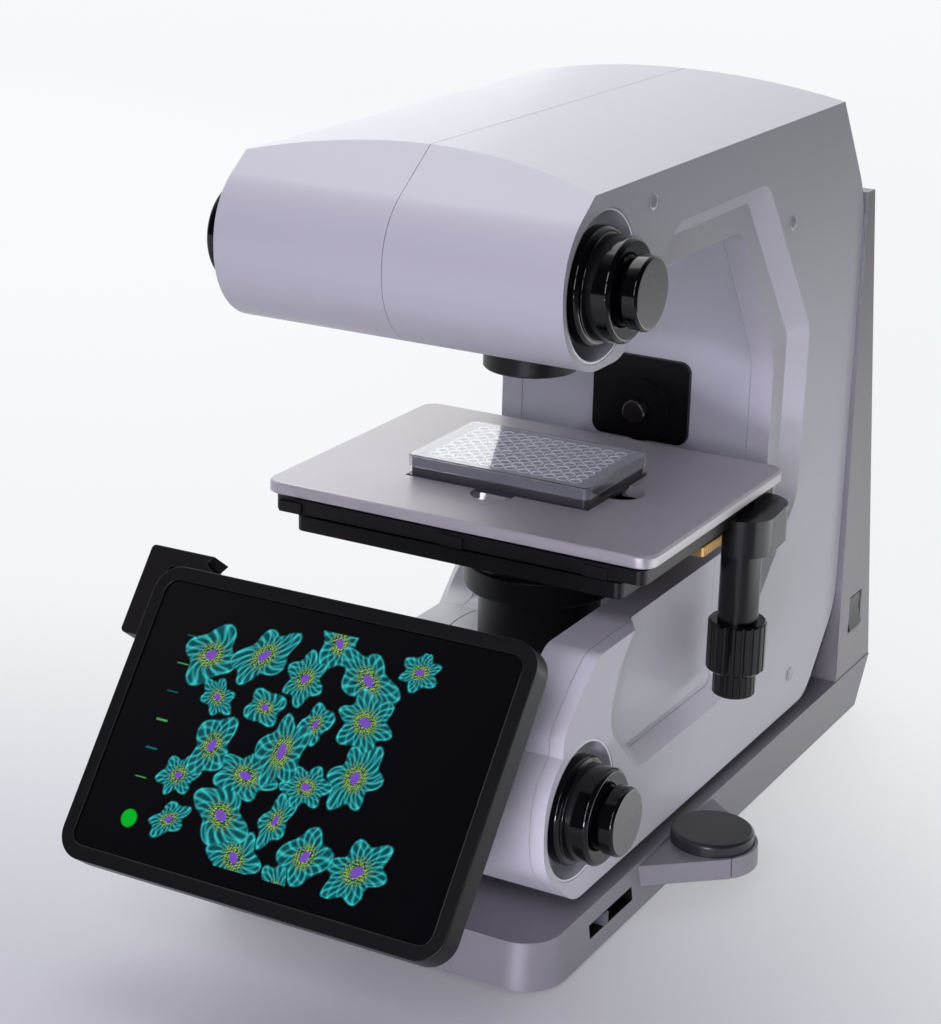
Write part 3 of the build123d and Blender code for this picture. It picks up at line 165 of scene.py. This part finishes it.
# Each CAD piece: finish, edge radius in millimetres, and the slot of the record
pieces = {
    "base_casting": ("frame", 1.6, "casting"), "base_pad": ("pad", 0, "pad"),
    "rear_column": ("frame", 1.8, "column_paint"), "chassis": ("steel", 0, "frame_metal"),
    "frame_bolts": ("steel", 0, "bolt_steel"), "knob_cups": ("cup", 0.3, "cup"),
    "shaft_bushes": ("bronze", 0, "bush"), "screw_caps": ("cap", 0.3, "cap"),
    "throat_box": ("satin", 1.2, "box"), "box_knob": ("darkSteel", 0.4, "box_knob"),
    "stage_frame": ("mechanism", 0.5, "stage_frame"), "stage_rails_y": ("steel", 0.2, "rail"),
    "stage_rails_x": ("darkSteel", 0.2, "rail"), "rack_y": ("bronze", 0, "rack"),
    "focus_rail": ("steel", 0.2, "rail"), "condenser_rail": ("steel", 0.2, "rail"),
    "lamp_module": ("diffuser", 0.3, "lamp"), "power_inlet": ("satin", 0.3, "inlet"),
    "mount_arm": ("satin", 1.0, "bracket"), "focus_belt": ("rubber", 0, "belt"),
    "condenser_belt": ("rubber", 0, "belt"), "mid_carriage": ("mechanism", 0.5, "carriage"),
    "drive_housing": ("drive", 0.6, "drive"), "stage_belt": ("rubber", 0, "belt"),
    "stage_plate": ("stage", 0.5, "stage_plate"), "knob_y": ("gloss", 0.3, "knob_black"),
    "knob_x": ("gloss", 0.3, "knob_black"), "pinion_y": ("steel", 0, "shaft"),
    "shaft_x": ("steel", 0, "shaft"),
    "focus_carriage": ("satin", 0.5, "drum"), "turret_disc": ("satin", 0.4, "turret"),
    "objectives": ("satin", 0.3, "objective"), "focus_pinion": ("steel", 0, "shaft"),
    "condenser_pinion": ("steel", 0, "shaft"), "condenser_barrel": ("satin", 0.5, "condenser"),
    "condenser_lens": ("lens", 0, "lens"), "coarse_shaft_low": ("steel", 0, "shaft"),
    "coarse_shaft_high": ("steel", 0, "shaft"), "fine_shaft_low": ("steel", 0, "shaft"),
    "fine_shaft_high": ("steel", 0, "shaft"), "coarse_knobs_low": ("gloss", 0.8, "knob_black"),
    "coarse_knobs_high": ("gloss", 0.8, "knob_black"), "fine_knob_low": ("gloss", 0.5, "knob_black"),
    "fine_knob_high": ("gloss", 0.5, "knob_black"), "tablet_body": ("satin", 0.3, "tablet_shell"),
    "tablet_glass": ("glass", 0.3, "screen"), "tablet_case": ("case", 0.7, "case"),
    "tablet_bracket": ("satin", 0.8, "bracket"), "hinge_pin": ("steel", 0.2, "bolt_steel"),
    "holder_grip": ("grip", 0.8, "grip"), "light_dial": ("dial", 0.5, "dial"),
    "rocker": ("gloss", 0.4, "switch"), "base_slider": ("tab", 0.3, "slider"),
    "well_plate": ("plate", 0.15, "plate_plastic"), "plate_lid": ("clear", 0.3, "lid_plastic"),
    "shell_right": ("shell", 2.6, "shell"), "shell_left": ("shell", 2.6, "shell"),
    "lower_cover": ("shell", 2.6, "cover"), "throat_cover": ("throat", 1.2, "throat"),
    "rear_cover": ("shell", 0.6, "cover"),
}

# Edges: weld distance in metres, angles in degrees, radius on a seam and above which a bevel counts as wide
# in millimetres, segments of a bevel, and the planes across x where covers meet, with their reach in metres
edges = {"weld": 2e-6, "flat": 0.4, "sharp": 32, "seamRadius": 0.35, "wide": 1.0, "segments": 2,
         "wideSegments": 4,
         "seamed": ("shell_right", "shell_left", "lower_cover"),
         "seams": ((0.0, 0.0009), (0.1027, 0.0009), (-0.1027, 0.0009), (0.0852, 0.0012), (-0.0852, 0.0012))}


def softEdges(mesh, radius):
    # Weight of each edge for the bevel: one where it is free, less where both its ends lie on a seam
    ends = np.empty(len(mesh.edges) * 2, np.int64)
    mesh.edges.foreach_get("vertices", ends)
    points = np.empty(len(mesh.vertices) * 3)
    mesh.vertices.foreach_get("co", points)
    across = points.reshape(-1, 3)[ends.reshape(-1, 2), 0]
    weight = np.ones(len(mesh.edges))
    for place, reach in edges["seams"]:
        weight[(np.abs(across - place) < reach).all(1)] = edges["seamRadius"] / radius
    return weight


def cleanMesh(mesh):
    # Loose triangles welded, flat faces joined, and edges past the sharp angle marked
    shape = bmesh.new()
    shape.from_mesh(mesh)
    bmesh.ops.remove_doubles(shape, verts=shape.verts, dist=edges["weld"])
    bmesh.ops.dissolve_limit(shape, angle_limit=math.radians(edges["flat"]), verts=shape.verts,
                             edges=shape.edges, delimit={"NORMAL"})
    for face in shape.faces:
        face.smooth = True
    for edge in shape.edges:
        edge.smooth = len(edge.link_faces) == 2 and edge.calc_face_angle(0) < math.radians(edges["sharp"])
    shape.to_mesh(mesh)
    shape.free()


def roundEdges(piece, radius, seamed):
    # Bevel of the sharp edges, then normals evened out over the large faces
    mesh = piece.data
    sharp = np.empty(len(mesh.edges), bool)
    mesh.edges.foreach_get("use_edge_sharp", sharp)
    weight = sharp * (softEdges(mesh, radius) if seamed else 1.0)
    store = mesh.attributes.new("bevel_weight_edge", "FLOAT", "EDGE")
    store.data.foreach_set("value", weight.astype(np.float32))
    sharpness = mesh.attributes.get("sharp_edge")
    if sharpness:
        mesh.attributes.remove(sharpness)
    bevel = piece.modifiers.new("edge", "BEVEL")
    bevel.limit_method = "WEIGHT"
    bevel.width = radius / 1000
    bevel.segments = edges["wideSegments"] if radius > edges["wide"] else edges["segments"]
    even = piece.modifiers.new("even", "WEIGHTED_NORMAL")
    even.keep_sharp = True


def copyPiece(node, finish, radius):
    # Copy of the CAD piece in its finish, with rounded edges, in the piece's stead
    mesh = frame["nodes"][node].data.copy()
    mesh.name = "look_" + node
    cleanMesh(mesh)
    mesh.materials.clear()
    mesh.materials.append(materials[finish])
    piece = bpy.data.objects.new("look_" + node, mesh)
    scene.collection.objects.link(piece)
    if radius:
        roundEdges(piece, radius, node in edges["seamed"])
    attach(piece, bodyOfNode[node])
    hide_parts(node)
    return piece


looks = {}
for nodeName, (finishName, edgeRadius, slotName) in pieces.items():
    looks[nodeName] = copyPiece(nodeName, finishName, edgeRadius)
print("pieces finished")

# Brushed end of a fine knob: its depth in metres, and the least x of a normal that faces outwards
knobEnd = {"depth": 0.0016, "facing": 0.75}
# Box of the slot in the base, in metres, whose faces get painted shade
slotBox = {"low": (0.1105, -0.1325, 0.0118), "high": (0.1213, -0.0735, 0.0215)}


def readFaces(mesh, name):
    # One row of three numbers for each face
    values = np.empty(len(mesh.polygons) * 3)
    mesh.polygons.foreach_get(name, values)
    return values.reshape(-1, 3)


def faceKnob(node):
    # Faces near the knob's outer end that look outwards get the brushed finish
    mesh = looks[node].data
    mesh.materials.append(materials["knobFace"])
    across = readFaces(mesh, "center")[:, 0]
    facing = readFaces(mesh, "normal")[:, 0] > knobEnd["facing"]
    onFace = (across > across.max() - knobEnd["depth"]) & facing
    mesh.polygons.foreach_set("material_index", onFace.astype(np.int32))


def paintSlotShade():
    # Faces whose middle lies in the slot's box get the black finish: painted shade in the slot's recess
    mesh = looks["base_casting"].data
    mesh.materials.append(materials["mechanism"])
    centres = readFaces(mesh, "center")
    inside = ((centres > slotBox["low"]) & (centres < slotBox["high"])).all(1)
    mesh.polygons.foreach_set("material_index", inside.astype(np.int32))


paintSlotShade()
for knobName in ("fine_knob_low", "fine_knob_high"):
    faceKnob(knobName)
looks["plate_lid"].visible_shadow = False  # light reaches the wells through the clear lid

# Rims of the wells, in metres: pitch across the plate, ring radii, and height of their middle
wells = {"columns": 12, "rows": 8, "pitch": 0.009, "radius": 0.0037, "thick": 0.0004, "height": 0.25840,
         "around": 20, "across": 6}


def makeWellRims():
    # One ring per well: x = (R + t cos b) cos a, y = (R + t cos b) sin a, z = t sin b, set out on the grid
    around, across = wells["around"], wells["across"]
    a = np.arange(around)[:, None] * 2 * math.pi / around
    b = np.arange(across)[None, :] * 2 * math.pi / across
    reach = wells["radius"] + wells["thick"] * np.cos(b)
    ring = np.stack([reach * np.cos(a), reach * np.sin(a), wells["thick"] * np.sin(b) + 0 * a], -1)
    ring = ring.reshape(-1, 3)
    column, row = np.meshgrid(np.arange(wells["columns"]), np.arange(wells["rows"]), indexing="ij")
    centres = np.stack([(column - (wells["columns"] - 1) / 2) * wells["pitch"],
                        (row - (wells["rows"] - 1) / 2) * wells["pitch"],
                        np.full(column.shape, wells["height"])], -1).reshape(-1, 1, 3)
    points = (centres + ring[None]).reshape(-1, 3)
    i, j = np.meshgrid(np.arange(around), np.arange(across), indexing="ij")
    nextI, nextJ = (i + 1) % around, (j + 1) % across
    corner = [i * across + j, nextI * across + j, nextI * across + nextJ, i * across + nextJ]
    quads = np.stack(corner, -1).reshape(-1, 4)
    starts = np.arange(len(centres))[:, None, None] * len(ring)
    faces = (starts + quads[None]).reshape(-1, 4)
    mesh = bpy.data.meshes.new("wellRims")
    mesh.from_pydata(points.tolist(), [], faces.tolist())
    mesh.shade_smooth()
    # the rims' finish glows a little: painted light on the rims
    mesh.materials.append(materials["rim"])
    rims = bpy.data.objects.new("wellRims", mesh)
    scene.collection.objects.link(rims)
    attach(rims, "plate")


makeWellRims()
print("well plate finished")

# Screen: middle of the glass in metres, its three directions, the picture's lift over it, and the picture's
# size and place on it in millimetres, with its count of points
screen = {
    "origin": (-0.0130, -0.2503, 0.1481), "right": (0.99899, -0.03560, 0.02742),
    "up": (0.0002, 0.61375, 0.78950), "out": (-0.04494, -0.78870, 0.61314), "lift": 0.00012,
    "wide": 200.0, "high": 145.4, "middle": -2.5, "columns": 356, "rows": 260, "glow": 0.85}
tones = {  # linear colours of the picture
    "petal": (0.00, 0.16, 0.19), "thread": (0.06, 0.62, 0.62), "pollen": (0.52, 0.75, 0.04),
    "core": (0.20, 0.08, 0.55), "button": (0.00, 0.50, 0.02), "bar": (0.10, 0.45, 0.10)}


def smooth(low, high, value):
    # Eased step from zero at low to one at high
    share = np.clip((value - low) / (high - low), 0, 1)
    return share * share * (3 - 2 * share)


# Rosette: its outline and rings as shares of its size, and how often its threads repeat over the petals
flower = {"size": 0.78, "lobe": 0.14, "oval": 0.08, "long": 1.16, "longSway": 0.10, "threads": 4,
          "crosses": 2.5, "rings": 16, "dustEdge": (0.50, 0.20), "coreEdge": (0.165, 0.125),
          "coreWide": 0.85, "softness": 0.9, "outline": 0.5, "cover": 0.75}


def grainDust(dx, dy, turn):
    # Two waves that bend each other, sin(5.3 x + 2.2 sin(2.9 y)) and sin(5.7 y + 2.2 sin(2.3 x))
    across = 0.5 + 0.5 * np.sin(dx * 5.3 + 2.2 * np.sin(dy * 2.9 + turn))
    along = 0.5 + 0.5 * np.sin(dy * 5.7 + 2.2 * np.sin(dx * 2.3 - turn))
    return across * along


def petalLines(angle, share, petals, turn):
    # Threads that run outwards and sway with the distance, and weaker ones that cross them in rings
    sway = 1.6 * np.sin(share * 7 + turn) + 1.1 * np.sin(2 * angle + share * 4)
    threads = (0.5 + 0.5 * np.cos(angle * petals * flower["threads"] + sway)) ** 4
    cross = (0.5 + 0.5 * np.cos(angle * petals * flower["crosses"] - share * flower["rings"])) ** 6
    return (0.62 * threads + 0.38 * cross) * smooth(0.12, 0.5, share)


def rosette(x, y, light, place, size, petals, turn):
    # Edge = size (0.78 + 0.14 cos(petals a) + 0.08 cos(2 a + turn)) on axes turned and drawn out one way
    lean = turn * 1.7
    long = flower["long"] + flower["longSway"] * math.sin(turn * 2.3)
    dx = ((x - place[0]) * math.cos(lean) + (y - place[1]) * math.sin(lean)) / long
    dy = ((y - place[1]) * math.cos(lean) - (x - place[0]) * math.sin(lean)) * long
    radius = np.hypot(dx, dy) + 1e-6
    angle = np.arctan2(dy, dx) + turn
    share = radius / size
    lobes = flower["lobe"] * np.cos(petals * angle) + flower["oval"] * np.cos(2 * angle + turn)
    edge = size * (flower["size"] + lobes)
    inside = smooth(flower["softness"], -flower["softness"], radius - edge)
    outline = np.exp(-((radius - edge + flower["outline"]) / flower["outline"]) ** 2)
    outline = outline * (0.5 + 0.5 * np.cos(petals * angle + 1))
    body = inside * (0.16 + 0.34 * smooth(0.1, 0.8, share))
    lines = inside * petalLines(angle, share, petals, turn) + 0.6 * outline
    layer = body[..., None] * np.array(tones["petal"]) + lines[..., None] * np.array(tones["thread"])
    dust = smooth(0.22, 0.50, grainDust(dx, dy, turn)) * smooth(*flower["dustEdge"], share)
    layer = layer * (1 - 0.85 * dust[..., None]) + dust[..., None] * np.array(tones["pollen"])
    core = smooth(*flower["coreEdge"], np.hypot(dx * flower["coreWide"], dy) / size)[..., None]
    layer = layer * (1 - core) + core * np.array(tones["core"])
    return np.maximum(light * (1 - flower["cover"] * inside[..., None]), layer)


# Picture, in millimetres from the glass's middle: spiral of rosettes, round button and column of bars
spiral = {"count": 30, "step": 16.5, "start": 0.7, "turn": 0.5, "wide": 1.20, "tall": 0.88,
          "middle": (6, -3), "size": 17.5, "sizeSway": 4.5, "gaps": (10, 13, 18, 21, 26), "leftEdge": -78}
button = {"place": (-87.7, -60.3), "radius": 5.0, "soft": 0.6}
bars = {"count": 6, "x": -90, "top": 52, "pitch": 17.5, "halfWide": 4.0, "halfHigh": 0.4}


def drawPicture():
    # Rosettes on a spiral: the angle grows by the golden angle and the distance with the root of the count
    x = np.linspace(-0.5, 0.5, screen["columns"])[None, :] * screen["wide"]
    y = np.linspace(-0.5, 0.5, screen["rows"])[:, None] * screen["high"]
    x, y = np.broadcast_arrays(x, y)
    light = np.zeros((*x.shape, 3))
    golden = math.pi * (3 - math.sqrt(5))
    for count in range(spiral["count"], 0, -1):
        spread = spiral["step"] * math.sqrt(count - spiral["start"])
        turned = count * golden + spiral["turn"]
        place = (spiral["wide"] * spread * math.cos(turned) + spiral["middle"][0],
                 spiral["tall"] * spread * math.sin(turned) + spiral["middle"][1])
        if count in spiral["gaps"] or place[0] < spiral["leftEdge"]:
            continue
        size = spiral["size"] + spiral["sizeSway"] * math.sin(count * 1.7)
        light = rosette(x, y, light, place, size, 4 + count % 3, count * 0.9)
    away = np.hypot(x - button["place"][0], y - button["place"][1])
    disc = smooth(button["radius"] + button["soft"], button["radius"], away)[..., None]
    light = light * (1 - disc) + disc * np.array(tones["button"])
    for step in range(bars["count"]):
        height = bars["top"] - step * bars["pitch"]
        bar = (np.abs(x - bars["x"]) < bars["halfWide"]) & (np.abs(y - height) < bars["halfHigh"])
        light[bar] = tones["bar"] if step % 2 else tones["petal"]
    return np.clip(light, 0, 1)


def makeScreen():
    # Each point is origin + x right + y up + lift out
    light = drawPicture()
    columns, rows = screen["columns"], screen["rows"]
    right, up, out = (np.array(screen[key]) for key in ("right", "up", "out"))
    across = (np.linspace(-0.5, 0.5, columns) * screen["wide"] + screen["middle"]) / 1000
    along = np.linspace(-0.5, 0.5, rows) * screen["high"] / 1000
    points = (np.array(screen["origin"]) + across[None, :, None] * right + along[:, None, None] * up
              + screen["lift"] * out).reshape(-1, 3)
    row, column = np.meshgrid(np.arange(rows - 1), np.arange(columns - 1), indexing="ij")
    first = (row * columns + column).reshape(-1, 1)
    faces = first + np.array([0, 1, columns + 1, columns])
    mesh = bpy.data.meshes.new("screenPicture")
    mesh.from_pydata(points.tolist(), [], faces.tolist())
    color = mesh.color_attributes.new("picture", "FLOAT_COLOR", "POINT")
    values = np.concatenate([light.reshape(-1, 3), np.ones((rows * columns, 1))], 1)
    color.data.foreach_set("color", values.astype(np.float32).ravel())
    material = bpy.data.materials.new("screenPicture")
    material.use_nodes = True
    nodes, links = material.node_tree.nodes, material.node_tree.links
    shader = nodes["Principled BSDF"]
    shader.inputs["Base Color"].default_value = (*finishes["glass"]["color"], 1)
    shader.inputs["Roughness"].default_value = finishes["glass"]["rough"]
    picture = nodes.new("ShaderNodeAttribute")
    picture.attribute_name = "picture"
    links.new(picture.outputs["Color"], shader.inputs["Emission Color"])
    shader.inputs["Emission Strength"].default_value = screen["glow"]
    mesh.materials.append(material)
    shown = bpy.data.objects.new("screenPicture", mesh)
    scene.collection.objects.link(shown)
    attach(shown, "tablet")


makeScreen()
print("screen finished")

# Floor and background, in metres: the floor turns from its near to its far colour between the two depths and
# between the two reaches, reflections see it dimmed from one place to another at the right, and the world
# turns from dark to white towards the bright side, between the two shares of horizon
room = {"floor": 14.0, "rough": 0.5, "spec": 0.2, "near": (0.60, 0.60, 0.64), "far": (0.82, 0.835, 0.855),
        "middle": 0.02, "aside": 0.55, "depths": (-0.42, 0.58), "reaches": (0.5, 1.3),
        "dimmed": (0.45, 1.10, 1.0, 0.15), "white": (0.90, 0.915, 0.94), "dark": (0.02, 0.02, 0.024),
        "bright": (-0.60, 0.75, 0.28), "horizon": (0.0, 0.8)}
# Lamps: place, target and size in metres, power in watts, spread in degrees
lamps = {
    "sky": {"place": (-1.0, 1.0, 2.6), "target": (0, 0, 0.3), "size": (2.4, 2.0), "power": 29,
            "color": (1.0, 1.0, 1.0)},
    "wall": {"place": (-2.55, 2.5, 1.25), "target": (-2.55, 0, 1.25), "size": (2.4, 2.0), "power": 8,
             "color": (1.0, 1.0, 1.0)},
    "front": {"place": (0.5, -2.4, 0.9), "target": (0, -0.1, 0.3), "size": (1.0, 0.8), "power": 17,
              "color": (0.88, 0.80, 1.0)},
    "high": {"place": (0.25, -2.2, 1.9), "target": (0, -0.1, 0.3), "size": (1.0, 0.8), "power": 19,
             "color": (0.88, 0.84, 1.0)},
    "low": {"place": (0.35, -1.3, 0.12), "target": (0.05, -0.1, 0.10), "size": (0.5, 0.2), "power": 0.35,
            "color": (0.90, 0.84, 1.0), "spread": 30},
    "side": {"place": (0.58, 0.22, 0.02), "target": (0.11, 0.08, 0.10), "size": (0.9, 0.2), "power": 1.6,
             "color": (0.97, 0.98, 1.0)},
}


def makeMath(tree, operation, first, second=0.0):
    # One sum of two values, each a number or an output
    step = tree.nodes.new("ShaderNodeMath")
    step.operation = operation
    for socket, value in zip(step.inputs, (first, second)):
        if isinstance(value, (int, float)):
            socket.default_value = value
        else:
            tree.links.new(value, socket)
    return step.outputs[0]


def makeRamp(tree, value, start, end, low=0.0, high=1.0):
    # Eased step from low at start to high at end
    ramp = tree.nodes.new("ShaderNodeMapRange")
    ramp.interpolation_type = "SMOOTHSTEP"
    for key, number in (("From Min", start), ("From Max", end), ("To Min", low), ("To Max", high)):
        ramp.inputs[key].default_value = number
    tree.links.new(value, ramp.inputs["Value"])
    return ramp.outputs["Result"]


def makeMix(tree, factor, first, second):
    # Blend of two colours
    blend = tree.nodes.new("ShaderNodeMix")
    blend.data_type = "RGBA"
    blend.inputs["A"].default_value = (*first, 1)
    blend.inputs["B"].default_value = (*second, 1)
    tree.links.new(factor, blend.inputs["Factor"])
    return blend.outputs["Result"]


def makeFloorShade(tree):
    # Depth = y + 0.55 |x - 0.02|, so that the floor pales backward and to both sides, and far off all round
    place = tree.nodes.new("ShaderNodeTexCoord").outputs["Object"]
    split = tree.nodes.new("ShaderNodeSeparateXYZ")
    tree.links.new(place, split.inputs["Vector"])
    aside = makeMath(tree, "ABSOLUTE", makeMath(tree, "SUBTRACT", split.outputs["X"], room["middle"]))
    depth = makeMath(tree, "ADD", split.outputs["Y"], makeMath(tree, "MULTIPLY", aside, room["aside"]))
    reach = tree.nodes.new("ShaderNodeVectorMath")
    reach.operation = "LENGTH"
    tree.links.new(place, reach.inputs[0])
    share = makeMath(tree, "MAXIMUM", makeRamp(tree, depth, *room["depths"]),
                     makeRamp(tree, reach.outputs["Value"], *room["reaches"]))
    return share, makeRamp(tree, split.outputs["X"], *room["dimmed"])


def makeFloor():
    # Flat square; its near colour is lit by the lamps, and its far colour glows for camera and reflections
    half = room["floor"] / 2
    corners = [(-half, -half, 0), (half, -half, 0), (half, half, 0), (-half, half, 0)]
    mesh = bpy.data.meshes.new("floor")
    mesh.from_pydata(corners, [], [(0, 1, 2, 3)])
    floor = bpy.data.objects.new("floor", mesh)
    scene.collection.objects.link(floor)
    material = bpy.data.materials.new("floor")
    material.use_nodes = True
    tree = material.node_tree
    shader = tree.nodes["Principled BSDF"]
    shader.inputs["Roughness"].default_value = room["rough"]
    shader.inputs["Specular IOR Level"].default_value = room["spec"]
    shader.inputs["Emission Color"].default_value = (*room["far"], 1)
    share, dim = makeFloorShade(tree)
    tree.links.new(makeMix(tree, share, room["near"], (0, 0, 0)), shader.inputs["Base Color"])
    rays = tree.nodes.new("ShaderNodeLightPath").outputs
    seen = makeMath(tree, "MAXIMUM", rays["Is Glossy Ray"], rays["Is Transmission Ray"])
    seen = makeMath(tree, "MAXIMUM", rays["Is Camera Ray"], makeMath(tree, "MULTIPLY", seen, dim))
    tree.links.new(makeMath(tree, "MULTIPLY", share, seen), shader.inputs["Emission Strength"])
    mesh.materials.append(material)


def makeWorld():
    # White all round in the picture; elsewhere white behind and to the left, and dark in front at the right
    world = bpy.data.worlds.new("world")
    world.use_nodes = True
    tree = world.node_tree
    toward = tree.nodes.new("ShaderNodeVectorMath")
    toward.operation = "DOT_PRODUCT"
    toward.inputs[1].default_value = room["bright"]
    tree.links.new(tree.nodes.new("ShaderNodeTexCoord").outputs["Generated"], toward.inputs[0])
    inPicture = tree.nodes.new("ShaderNodeLightPath").outputs["Is Camera Ray"]
    share = makeMath(tree, "MAXIMUM", makeRamp(tree, toward.outputs["Value"], *room["horizon"]), inPicture)
    light = makeMix(tree, share, room["dark"], room["white"])
    tree.links.new(light, tree.nodes["Background"].inputs["Color"])
    scene.world = world


def makeLamp(name):
    # Soft area lamp that looks at its target and isn't seen itself
    lamp = lamps[name]
    data = bpy.data.lights.new(name, "AREA")
    data.shape = "RECTANGLE"
    data.size, data.size_y = lamp["size"]
    data.energy = lamp["power"]
    data.color = lamp["color"]
    data.spread = math.radians(lamp.get("spread", 180))
    light = bpy.data.objects.new(name, data)
    light.location = lamp["place"]
    toward = Vector(lamp["place"]) - Vector(lamp["target"])
    light.rotation_euler = toward.to_track_quat("Z", "Y").to_euler()
    light.visible_camera = False
    scene.collection.objects.link(light)


makeFloor()
makeWorld()
for lampName in lamps:
    makeLamp(lampName)
scene.view_settings.view_transform = "Standard"
print("floor and light ready")
